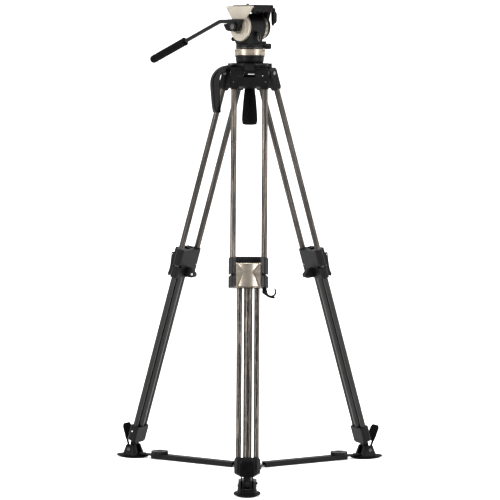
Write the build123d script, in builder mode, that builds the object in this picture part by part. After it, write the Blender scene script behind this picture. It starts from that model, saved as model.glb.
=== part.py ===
"""Video tripod with a fluid head: twin-tube legs, 100 mm bowl, ground spreader and pan handle.

Millimetres, +Z up.  The origin is on the ground under the bowl, at the underside of the spreader's hub.
The front leg points along -Y.  A leg's own frame has x round the tripod, y inward and z up the leg.
The head's own frame has x forward (the lens side), y to the camera operator's left and z up.
"""

from math import cos, degrees, radians, sin
import os

from build123d import *

os.makedirs("parts", exist_ok=True)

# ---- driving dimensions -------------------------------------------------------------------------------
LEGS = {"front": -90, "left": 150, "right": 30}  # azimuth of each leg, degrees
LEG_TILT = 16.76  # from the vertical, degrees
PIVOT_R, PIVOT_Z = 61.5, 1415.0  # where a leg's axis meets its hinge pin
PIN_R = 5.0
RUN = 0.05  # radial clearance of a running fit
GAP = 0.3  # between curved faces of two moving bodies

UPPER_TUBE_R, UPPER_TUBE_X = 10.2, 54.2
LOWER_Y = -13.1  # the lower tubes lie outside the upper ones
SIDE_TUBE_R, SIDE_TUBE_X = 9.2, 30.0
MID_TUBE_R = 14.8

YOKE_X, YOKE_Y = 67.0, 14.0  # half width and half thickness
YOKE_TOP, YOKE_BOTTOM, YOKE_ARCH = 17.0, -60.6, -52.0
LUG_X = 19.0  # half width of the crown's lug inside the yoke
COLLAR_TOP, COLLAR_SEAM, COLLAR_STEP, COLLAR_BOTTOM = -663.5, -719.0, -728.0, -767.0
COLLAR_FRONT = -31.0
LEVER_X, LEVER_PIN_Y, LEVER_PIN_Z, LEVER_BOTTOM = 42.0, -36.2, -691.0, -772.0
BOOT_X, BOOT_TOP, BOOT_SHOULDER, BOOT_BOTTOM = 44.0, -1356.5, -1408.0, -1418.5
TIP_Y, TIP_Z, TIP_R = -15.7, -1450.0, 12.0  # the eye at the foot of a leg

BALL_Z, BALL_R = 1467.0, 50.0  # a 100 mm half ball
RIM_Z, RIM_R, RIM_H = 1450.0, 66.0, 12.0
BOWL_WALL = 6.7
STUD_R = 6.0
RING_R = 53.8
BASE_Z, BASE_TOP, BASE_R = 1499.5, 1516.0, 49.0

HEAD_YAW = -47.5  # of the lens direction from +X
TILT_Z = 1577.5
DISC_R, DISC_OUT, DISC_IN = 50.0, 49.5, 43.0  # the side disc's radius and its two faces, to the right
DRUM_R = 46.0
PLATE_X, PLATE_LEFT = 70.0, 59.5
SADDLE_Z, RAIL_Z, PLATE_TOP = 52.5, 73.0, 76.0  # above the tilt axis
HANDLE_RIGHT = 66.0  # the pan handle's plane

FOOT_R = 498.0  # radius of the pads' circle
PAD_A, PAD_B, PAD_H = 63.5, 46.0, 9.0
ANKLE_R = PIVOT_R - TIP_Z * sin(radians(LEG_TILT)) - TIP_Y * cos(radians(LEG_TILT))
ANKLE_Z = PIVOT_Z + TIP_Z * cos(radians(LEG_TILT)) - TIP_Y * sin(radians(LEG_TILT))
ANKLE_PIN_R = 4.0
LEVER_LEAN = {"front": 18.0, "left": 16.0, "right": 24.0}  # how far each foot's lever leans out, degrees

ARM_W, ARM_Z0, ARM_Z1 = 30.0, 2.0, 20.0
ARM_START, ARM_END = 63.0, 408.0
BAR_W, BAR_Z0, BAR_Z1, BAR_END = 24.0, 11.0, 16.5, 190.0
TONGUE_Z0, TONGUE_Z1, TONGUE_PIN, TONGUE_END = 4.5, 9.5, 24.0, 130.0
CAVITY_Z0, CAVITY_Z1 = 4.0, 16.9
HUB_R, HUB_H, HUB_FLAT, HUB_PIN_R = 46.0, 22.0, 38.0, 2.5
EYE_PLAY = 2.7  # radial play of the two side tongues on the hub's pins
KNOB_AT, KNOB_R = 379.0, 33.0


# ---- frames -------------------------------------------------------------------------------------------
def across_leg(azimuth, z=0.0, tilt=LEG_TILT):
    """Plane across a leg, z along it from its hinge pin."""
    a, t = radians(azimuth), radians(tilt)
    up = Vector(-sin(t) * cos(a), -sin(t) * sin(a), cos(t))
    pivot = Vector(PIVOT_R * cos(a), PIVOT_R * sin(a), PIVOT_Z)
    return Plane(origin=pivot + up * z, x_dir=(-sin(a), cos(a), 0), z_dir=up)


def face_of_leg(azimuth, y=0.0):
    """Plane along a leg, seen from outside: x round the tripod, y up the leg, and y = 0 at the hinge pin."""
    leg = across_leg(azimuth)
    return Plane(origin=leg.origin + leg.y_dir * y, x_dir=leg.x_dir, z_dir=leg.y_dir * -1)


def side_of_leg(azimuth, x=0.0):
    """Plane along a leg, seen from its side: x inward and y up the leg."""
    leg = across_leg(azimuth)
    return Plane(origin=leg.origin + leg.x_dir * x, x_dir=leg.y_dir, z_dir=leg.x_dir)


def ground(azimuth, z=0.0):
    """Level plane with x outward along one arm of the spreader."""
    a = radians(azimuth)
    return Plane(origin=(0, 0, z), x_dir=(cos(a), sin(a), 0), z_dir=(0, 0, 1))


def upright(azimuth, lateral=0.0):
    """Upright plane through the tripod's axis: x outward and y up."""
    a = radians(azimuth)
    side = Vector(sin(a), -cos(a), 0)
    return Plane(origin=side * lateral, x_dir=(cos(a), sin(a), 0), z_dir=side)


def head_level(z=0.0):
    """Level plane of the head: x forward and y left."""
    a = radians(HEAD_YAW)
    return Plane(origin=(0, 0, z), x_dir=(cos(a), sin(a), 0), z_dir=(0, 0, 1))


def head_side(right=0.0):
    """Plane across the tilt axis: x forward, y up from the axis, and the normal to the right."""
    a = radians(HEAD_YAW)
    normal = Vector(sin(a), -cos(a), 0)
    return Plane(origin=Vector(0, 0, TILT_Z) + normal * right, x_dir=(cos(a), sin(a), 0), z_dir=normal)


def head_front(forward=0.0, z=TILT_Z):
    """Plane across the forward direction: x left and y up, and the normal forward."""
    a = radians(HEAD_YAW)
    ahead = Vector(cos(a), sin(a), 0)
    return Plane(origin=ahead * forward + Vector(0, 0, z), x_dir=(-sin(a), cos(a), 0), z_dir=ahead)


def normal_of(plane):
    return Axis(plane.origin, plane.z_dir)


def save(solid, label):
    solid.part.label = label
    export_step(solid.part, f"parts/{label}.step")


# ---- crown: the bowl with three lugs ------------------------------------------------------------------
with BuildPart() as crown:
    with BuildSketch(Plane.XZ) as bowl:
        with Locations((0, BALL_Z)):
            Circle(BALL_R + GAP + BOWL_WALL)
        with Locations((0, RIM_Z + 100)):
            Rectangle(300, 200, mode=Mode.SUBTRACT)
        with Locations((RIM_R / 2, RIM_Z - RIM_H / 2)):
            Rectangle(RIM_R, RIM_H)
        with Locations((-150, RIM_Z - 50)):
            Rectangle(300, 200, mode=Mode.SUBTRACT)
    revolve(axis=Axis.Z)
    for azimuth in LEGS.values():
        with BuildSketch(upright(azimuth)):
            with BuildLine():
                Polyline((44, RIM_Z - 1), (79, RIM_Z - 1), (79, PIVOT_Z - 6), (70, PIVOT_Z - 15), (52, PIVOT_Z - 15),
                         (44, PIVOT_Z - 4), close=True)
            make_face()
        extrude(amount=LUG_X, both=True)
        with BuildSketch(upright(azimuth)):
            with Locations((PIVOT_R, PIVOT_Z)):
                Circle(PIN_R)
        extrude(amount=LUG_X + 1, both=True, mode=Mode.SUBTRACT)
    with Locations((0, 0, BALL_Z)):
        Sphere(BALL_R + GAP, mode=Mode.SUBTRACT)
    with BuildSketch(Plane.XY.offset(RIM_Z - 70)):
        Circle(21)
    extrude(amount=70, mode=Mode.SUBTRACT)
save(crown, "crown")

with BuildPart() as leg_pins:
    for azimuth in LEGS.values():
        with BuildSketch(side_of_leg(azimuth)):
            Circle(PIN_R)
        extrude(amount=YOKE_X - 0.5, both=True)
save(leg_pins, "leg_pins")

# ---- carry handle: a stiff hook between the front and left legs, open at its lower end ---------------------
CARRY_AZIMUTH = 210
CARRY_W = 22.0
CARRY_ROOT = 64.0
with BuildPart() as carry_handle:
    with BuildSketch(upright(CARRY_AZIMUTH)) as hook:
        with BuildLine():
            top = Polyline((CARRY_ROOT, RIM_Z - 3), (100, RIM_Z - 9))
            shoulder = TangentArc(top @ 1, (152, 1398), tangent=top % 1)
            outer = Spline(shoulder @ 1, (153, 1345), (146, 1288), tangents=[shoulder % 1, (-0.2, -1)])
            end = Polyline(outer @ 1, (141, 1277), (121, 1277))
            inner = Spline(end @ 1, (124, 1330), (125, 1396), tangents=[(0, 1), (0, 1)])
            armpit = TangentArc(inner @ 1, (107, 1416), tangent=inner % 1)
            Polyline(armpit @ 1, (92, 1424), (88, 1431), (CARRY_ROOT, 1432), (CARRY_ROOT, RIM_Z - 3))
        make_face()
    extrude(amount=CARRY_W / 2, both=True)
    fillet(carry_handle.edges().filter_by(GeomType.BSPLINE), radius=4)
    with BuildSketch(Plane.XY.offset(RIM_Z - 40)):
        Circle(RIM_R)
    extrude(amount=50, mode=Mode.SUBTRACT)
save(carry_handle, "carry_handle")

# ---- levelling half ball, its clamp cup, stud and tie-down handle ------------------------------------------
BALL_TOP, FLANGE_TOP, FLANGE_R = 1472.0, 1477.0, 52.7
SPINDLE_R, SPINDLE_Z = 15.0, 1443.0
STUD_END = 1345.0
RING_BORE = 40.0
with BuildPart() as half_ball:
    with Locations((0, 0, BALL_Z)):
        Sphere(BALL_R)
    with BuildSketch(Plane.XY.offset(BALL_TOP)):
        Circle(80)
    extrude(amount=80, mode=Mode.SUBTRACT)
    with BuildSketch(Plane.XY.offset(BALL_Z - BALL_R - 1)):
        Circle(60)
    extrude(amount=8, mode=Mode.SUBTRACT)
    with BuildSketch(Plane.XY.offset(BALL_TOP)):
        Circle(FLANGE_R)
    extrude(amount=FLANGE_TOP - BALL_TOP)
    with BuildSketch(Plane.XY.offset(FLANGE_TOP)):
        Circle(RING_BORE)
    extrude(amount=BASE_Z - GAP - FLANGE_TOP)
    with BuildSketch(Plane.XY.offset(SPINDLE_Z)):
        Circle(SPINDLE_R + RUN)
    extrude(amount=100, mode=Mode.SUBTRACT)
    with BuildSketch(Plane.XY.offset(STUD_END)):
        Circle(STUD_R)
    extrude(amount=BALL_Z - BALL_R + 15 - STUD_END)
save(half_ball, "half_ball")

CUP_IN = BALL_R + GAP + BOWL_WALL + GAP
CUP_OUT = CUP_IN + 5.5
CUP_R = 27.0
with BuildPart() as clamp_cup:
    with Locations((0, 0, BALL_Z)):
        Sphere(CUP_OUT)
        Sphere(CUP_IN, mode=Mode.SUBTRACT)
    with BuildSketch(Plane.XY.offset(BALL_Z - CUP_OUT - 1)):
        Circle(CUP_R)
    extrude(amount=CUP_OUT, mode=Mode.INTERSECT)
    with BuildSketch(Plane.XY.offset(BALL_Z - CUP_OUT - 1)):
        SlotCenterToCenter(18.5, 2 * STUD_R + 0.6)
    extrude(amount=30, mode=Mode.SUBTRACT)
save(clamp_cup, "clamp_cup")

GRIP_TOP, GRIP_END = 1400.0, 1233.5
with BuildPart() as tie_handle:
    with BuildSketch(Plane.XZ):
        with BuildLine():
            Polyline((0, GRIP_TOP), (13, GRIP_TOP), (14.5, GRIP_TOP - 3), (14.5, GRIP_TOP - 20), (16.5, 1372),
                     (16.5, 1362), (21.5, 1318), (25.5, 1268), (26.3, 1250), (25.4, GRIP_END + 3),
                     (22.5, GRIP_END), (0, GRIP_END), close=True)
        make_face()
    revolve(axis=Axis.Z)
    with BuildSketch(Plane.XY.offset(STUD_END - 2)):
        Circle(STUD_R + RUN)
    extrude(amount=100, mode=Mode.SUBTRACT)
save(tie_handle, "tie_handle")

# ---- pan stage ---------------------------------------------------------------------------------------------
with BuildPart() as pan_ring:
    with BuildSketch(Plane.XY.offset(FLANGE_TOP + GAP)):
        Circle(RING_R)
        Circle(RING_BORE + RUN, mode=Mode.SUBTRACT)
    extrude(amount=BASE_Z - FLANGE_TOP - 2 * GAP)
    chamfer(pan_ring.edges().filter_by(GeomType.CIRCLE).group_by(SortBy.RADIUS)[-1], length=1)
save(pan_ring, "pan_ring")

SHAFT_R = 8.0
SLEEVE_R, SLEEVE_LEFT = 30.0, 45.4  # the tilt drag ring turns on this sleeve
DRUM_LEFT, DRUM_RIGHT = 33.0, 39.0
LOCK_BORE, LOCK_STEM = 35.0, 5.0
LOCK_Z = (BASE_Z + BASE_TOP) / 2 + 1.4
DIAL_SIDE, DIAL_DROP = 22.0, -43.0  # the counterbalance dial, right of the middle and below the axis
TOGGLE_AT, TOGGLE_Z = (6.0, 49.0), -26.0  # the tilt lock's pin: right, forward and below the axis
with BuildPart() as pan_housing:
    with BuildSketch(Plane.XY.offset(BASE_Z)):
        Circle(BASE_R)
    extrude(amount=BASE_TOP - BASE_Z)
    chamfer(pan_housing.edges().sort_by(Axis.Z)[-1], length=1.5)
    with BuildSketch(Plane.XY.offset(SPINDLE_Z + 2)):
        Circle(SPINDLE_R)
    extrude(amount=BASE_Z - SPINDLE_Z)
    with BuildSketch(head_level(BASE_TOP - 2)):
        with Locations((0, (DRUM_LEFT - DRUM_RIGHT) / 2)):
            RectangleRounded(74, DRUM_LEFT + DRUM_RIGHT - 8, 8)
    extrude(amount=TILT_Z - BASE_TOP, taper=-4)
    with BuildSketch(head_side(-DRUM_LEFT)):
        Circle(DRUM_R)
    extrude(amount=DRUM_LEFT + DRUM_RIGHT)
    with BuildSketch(head_side(-SLEEVE_LEFT)):
        Circle(SLEEVE_R)
    extrude(amount=SLEEVE_LEFT - DRUM_LEFT + 1)
    with BuildSketch(head_side(-SLEEVE_LEFT - 1)):
        Circle(SHAFT_R + RUN)
    extrude(amount=SLEEVE_LEFT + DRUM_RIGHT + 2, mode=Mode.SUBTRACT)
    with BuildSketch(Plane.YZ.offset(LOCK_BORE)):
        with Locations((0, LOCK_Z)):
            Circle(LOCK_STEM + RUN)
    extrude(amount=40, mode=Mode.SUBTRACT)
    with BuildSketch(head_front(TOGGLE_AT[1] - 12, TILT_Z + TOGGLE_Z)):
        with Locations((-TOGGLE_AT[0], 0)):
            Circle(7)
    extrude(amount=12)
    with BuildSketch(head_front(TOGGLE_AT[1] - 9, TILT_Z + TOGGLE_Z)):
        with Locations((-TOGGLE_AT[0], 0)):
            Circle(3 + RUN)
    extrude(amount=12, mode=Mode.SUBTRACT)
    with BuildSketch(head_front(-58, TILT_Z + DIAL_DROP)):
        with Locations((-DIAL_SIDE, 0)):
            Circle(6.5)
    extrude(amount=30)
    with BuildSketch(head_side(DIAL_SIDE - 4)):
        Polygon((-56, DIAL_DROP), (-30, DIAL_DROP), (-30, -66), (-41, -66), align=None)
    extrude(amount=8)
    with BuildSketch(head_front(-59, TILT_Z + DIAL_DROP)):
        with Locations((-DIAL_SIDE, 0)):
            Circle(3 + RUN)
    extrude(amount=15, mode=Mode.SUBTRACT)
    with BuildSketch(head_level(BASE_TOP - 3)):
        with Locations((0, 40)):
            Rectangle(44, 36)
    extrude(amount=14)
save(pan_housing, "pan_housing")

LOCK_START, LOCK_END, LOCK_R = 50.0, 75.0, 9.4
with BuildPart() as pan_lock:
    with BuildSketch(Plane.YZ.offset(LOCK_BORE + 1)):
        with Locations((0, LOCK_Z)):
            Circle(LOCK_STEM)
    extrude(amount=LOCK_START - LOCK_BORE - 1)
    with BuildSketch(Plane.YZ.offset(LOCK_START)):
        with Locations((0, LOCK_Z)):
            Circle(LOCK_R)
    extrude(amount=LOCK_END - LOCK_START)
    fillet(pan_lock.edges().filter_by(GeomType.CIRCLE).group_by(SortBy.RADIUS)[-1], radius=2)
save(pan_lock, "pan_lock")

with BuildPart() as tilt_lock:
    with BuildSketch(head_front(TOGGLE_AT[1] - 8, TILT_Z + TOGGLE_Z)):
        with Locations((-TOGGLE_AT[0], 0)):
            Circle(3)
    extrude(amount=9)
    with BuildSketch(head_front(TOGGLE_AT[1] + 0.5, TILT_Z + TOGGLE_Z)):
        with Locations((-TOGGLE_AT[0], 0)):
            Circle(7)
        with Locations((-TOGGLE_AT[0], -11)):
            SlotCenterToCenter(14, 13, rotation=90)
        with Locations((-TOGGLE_AT[0], -12)):
            SlotCenterToCenter(9, 6, rotation=90, mode=Mode.SUBTRACT)
    extrude(amount=6)
save(tilt_lock, "tilt_lock")

# ---- tilt stage --------------------------------------------------------------------------------------------
ROSETTE, SPIGOT_R, STEM_R = 56.0, 9.0, 4.0  # the handle's hinge, to the right
with BuildPart() as tilt_plate:
    with BuildSketch(head_side(DISC_IN - 3)):
        Circle(DISC_R + 1)
    extrude(amount=2.4)
    with BuildSketch(head_side(DISC_IN - 0.6)):
        Circle(DISC_R - 2.5)
    extrude(amount=1.6)
    with BuildSketch(head_side(DISC_IN + 1)):
        Circle(DISC_R)
    extrude(amount=DISC_OUT - DISC_IN - 1)
    with BuildSketch(head_side(DISC_IN + 1)):
        with BuildLine():
            Polyline((-PLATE_X + 1, RAIL_Z - 1), (PLATE_X - 1, RAIL_Z - 1), (PLATE_X - 1, RAIL_Z - 6), (24, 22),
                     (-34, 22), (-PLATE_X + 1, RAIL_Z - 6), close=True)
        make_face()
    extrude(amount=DISC_OUT - DISC_IN + 1)
    with BuildSketch(head_side(DISC_OUT - 1)):
        Circle(26)
    extrude(amount=ROSETTE - DISC_OUT + 1)
    with BuildSketch(head_side(ROSETTE - 1)):
        Circle(SPIGOT_R)
    extrude(amount=12)
    with BuildSketch(head_side(30)):
        Circle(SHAFT_R)
    extrude(amount=DISC_OUT - 30 - 2, mode=Mode.SUBTRACT)
    with BuildSketch(head_side(DISC_OUT + 1)):
        Circle(STEM_R + RUN)
    extrude(amount=40, mode=Mode.SUBTRACT)
save(tilt_plate, "tilt_plate")

with BuildPart() as tilt_ring:
    with BuildSketch(head_side(-SLEEVE_LEFT + GAP)):
        Circle(48)
        Circle(SLEEVE_R + RUN, mode=Mode.SUBTRACT)
    extrude(amount=SLEEVE_LEFT - DRUM_LEFT - 2 * GAP)
    chamfer(tilt_ring.edges().filter_by(GeomType.CIRCLE).group_by(SortBy.RADIUS)[-1], length=1.2)
save(tilt_ring, "tilt_ring")

FAR_IN, FAR_OUT = 46.0, 60.0
with BuildPart() as far_cheek:
    with BuildSketch(head_side(-FAR_OUT)):
        Circle(42)
        Polygon((-33, 22), (33, 22), (44, SADDLE_Z), (-44, SADDLE_Z), align=None)
    extrude(amount=FAR_OUT - FAR_IN)
    with BuildSketch(head_side(-FAR_OUT - 5)):
        Circle(16)
    extrude(amount=6)
    with BuildSketch(head_side(-FAR_OUT + 2)):
        Circle(SHAFT_R)
    extrude(amount=FAR_OUT - 2 + DISC_OUT - 2)
save(far_cheek, "far_cheek")

# ---- platform, sliding camera plate and its lever ----------------------------------------------------------
PLATE_BACK, PLATE_FRONT = -46.0, 66.0
DOVETAIL = [(-33, 67.8), (47, 67.8), (42, 73.3), (-28, 73.3)]
LEVER_AT, LEVER_HOLE = (52.0, 59.0), 44.0  # the plate lever's pin: forward and above the axis; its bore's left
BUTTON_AT = (36.0, 58.0)
with BuildPart() as platform:
    with BuildSketch(head_front(-PLATE_X)):
        Polygon((-DISC_IN - 1, SADDLE_Z + 2), (-DISC_IN - 1, RAIL_Z), (PLATE_LEFT - 2, RAIL_Z), (PLATE_LEFT, RAIL_Z - 2),
                (PLATE_LEFT, SADDLE_Z), (-DISC_IN + 1, SADDLE_Z), align=None)
        Polygon((-33.3, 67.5), (47.3, 67.5), (42.3, RAIL_Z + 0.1), (-28.3, RAIL_Z + 0.1), align=None, mode=Mode.SUBTRACT)
    extrude(amount=2 * PLATE_X)
    with BuildSketch(head_level(TILT_Z + SADDLE_Z)):
        with Locations((PLATE_X, PLATE_LEFT), (-PLATE_X, PLATE_LEFT)):
            Rectangle(18, 18, rotation=45)
    extrude(amount=30, mode=Mode.SUBTRACT)
    with BuildSketch(head_front(PLATE_X - 1.5)):
        with Locations((4, 63.5), (4, 58)):
            Rectangle(84, 1.6)
    extrude(amount=3, mode=Mode.SUBTRACT)
    with BuildSketch(head_level(TILT_Z + SADDLE_Z)):
        with Locations((58, -32), (58, -12), (58, 8)):
            Circle(5.5)
    extrude(amount=-5)
    with BuildSketch(head_side(-LEVER_HOLE)):
        with Locations(LEVER_AT):
            Circle(3.5 + RUN)
    extrude(amount=-30, mode=Mode.SUBTRACT)
    with BuildSketch(head_front(PLATE_X - 14)):
        with Locations(BUTTON_AT):
            Circle(3.5 + RUN)
    extrude(amount=20, mode=Mode.SUBTRACT)
save(platform, "platform")

with BuildPart() as release_button:
    with BuildSketch(head_front(PLATE_X - 11)):
        with Locations(BUTTON_AT):
            Circle(3.5)
    extrude(amount=13.5)
save(release_button, "release_button")

with BuildPart() as camera_plate:
    with BuildSketch(head_front(PLATE_BACK)):
        Polygon(*DOVETAIL, align=None)
        Polygon((-41, 73.3), (-41, PLATE_TOP), (52, PLATE_TOP), (52, 73.3), align=None)
    extrude(amount=PLATE_FRONT - PLATE_BACK)
    with BuildSketch(head_level(TILT_Z + PLATE_TOP)):
        with Locations((-12, 0)):
            Circle(4.76)
    extrude(amount=6)
save(camera_plate, "camera_plate")

with BuildPart() as plate_lever:
    with BuildSketch(head_side(-LEVER_HOLE - 1)):
        with Locations(LEVER_AT):
            Circle(3.5)
    extrude(amount=-(PLATE_LEFT - LEVER_HOLE + 3))
    with BuildSketch(head_side(-PLATE_LEFT - 0.6)):
        with Locations(LEVER_AT):
            Circle(8)
        Polygon((44, 59), (60, 59), (57, 12), (50, 4), (47, 12), align=None)
    extrude(amount=-7)
    with BuildSketch(head_side(-PLATE_LEFT - 6)):
        with Locations((53, 33)):
            SlotCenterToCenter(28, 13, rotation=90)
    extrude(amount=-7)
save(plate_lever, "plate_lever")

with BuildPart() as counterbalance_dial:
    with BuildSketch(head_front(-66.5, TILT_Z + DIAL_DROP)):
        with Locations((-DIAL_SIDE, 0)):
            Circle(7.5)
    extrude(amount=8)
    with BuildSketch(head_front(-59, TILT_Z + DIAL_DROP)):
        with Locations((-DIAL_SIDE, 0)):
            Circle(3)
    extrude(amount=14)
save(counterbalance_dial, "counterbalance_dial")

# ---- pan handle --------------------------------------------------------------------------------------------
CLAMP_IN, CLAMP_OUT = ROSETTE + 0.3, 75.0
BAR_UP, BEND = 18.5, -85.0
HANDLE_DIP = 20.1  # degrees below level
HANDLE_END, GRIP_AT = 395.0, 204.0  # along the sloping run from the bend
with BuildPart() as handle_clamp:
    with BuildSketch(head_side(CLAMP_IN)):
        Circle(17)
        Polygon((-34, 26), (28, 26), (29, 20), (15, -9), (-15, -9), (-38, 12), align=None)
    extrude(amount=CLAMP_OUT - CLAMP_IN)
    with BuildSketch(head_side(CLAMP_IN + 2)):
        Polygon((-30, 12), (-62, 9), (-47, -13), (-30, -16), (-14, -10), align=None)
    extrude(amount=11)
    with BuildSketch(head_front(-8, TILT_Z + BAR_UP)):
        with Locations((-HANDLE_RIGHT, 0)):
            Circle(7)
    extrude(amount=-60, mode=Mode.SUBTRACT)
    with BuildSketch(head_side(CLAMP_IN - 1)):
        Circle(SPIGOT_R + RUN)
    extrude(amount=30, mode=Mode.SUBTRACT)
save(handle_clamp, "handle_clamp")

with BuildPart() as handle_knob:
    with BuildSketch(head_side(CLAMP_OUT + 0.5)):
        Circle(14.5)
    extrude(amount=8.5)
    fillet(handle_knob.edges().filter_by(GeomType.CIRCLE), radius=1.5)
    with BuildSketch(head_side(ROSETTE - 4)):
        Circle(STEM_R)
    extrude(amount=CLAMP_OUT - ROSETTE + 6)
save(handle_knob, "handle_knob")

DIP = radians(HANDLE_DIP)
BEND_POINT = (BEND, BAR_UP)
END_POINT = (BEND - HANDLE_END * cos(DIP), BAR_UP - HANDLE_END * sin(DIP))
with BuildPart() as pan_handle:
    with BuildLine(head_side(HANDLE_RIGHT)) as run:
        FilletPolyline((-10, BAR_UP), BEND_POINT, END_POINT, radius=40)
    with BuildSketch(Plane(origin=run.line @ 0, z_dir=run.line % 0)):
        Circle(7)
    sweep()
save(pan_handle, "pan_handle")


def along_handle(distance):
    """Plane across the handle's sloping run, at a distance from the bend, its normal toward the hand."""
    side = head_side(HANDLE_RIGHT)
    back = side.x_dir * -cos(DIP) - side.y_dir * sin(DIP)
    return Plane(origin=side.from_local_coords(BEND_POINT) + back * distance, x_dir=side.z_dir, z_dir=back)


with BuildPart() as handle_grip:
    with BuildSketch(along_handle(GRIP_AT)):
        Circle(14)
    extrude(amount=HANDLE_END + 8 - GRIP_AT)
    fillet(handle_grip.edges().filter_by(GeomType.CIRCLE).sort_by(lambda e: e.center().Z)[0], radius=12)
    chamfer(handle_grip.edges().filter_by(GeomType.CIRCLE).sort_by(lambda e: e.center().Z)[-1], length=3)
    with BuildSketch(along_handle(GRIP_AT - 1)):
        Circle(7)
    extrude(amount=HANDLE_END - GRIP_AT + 1, mode=Mode.SUBTRACT)
save(handle_grip, "handle_grip")

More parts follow.
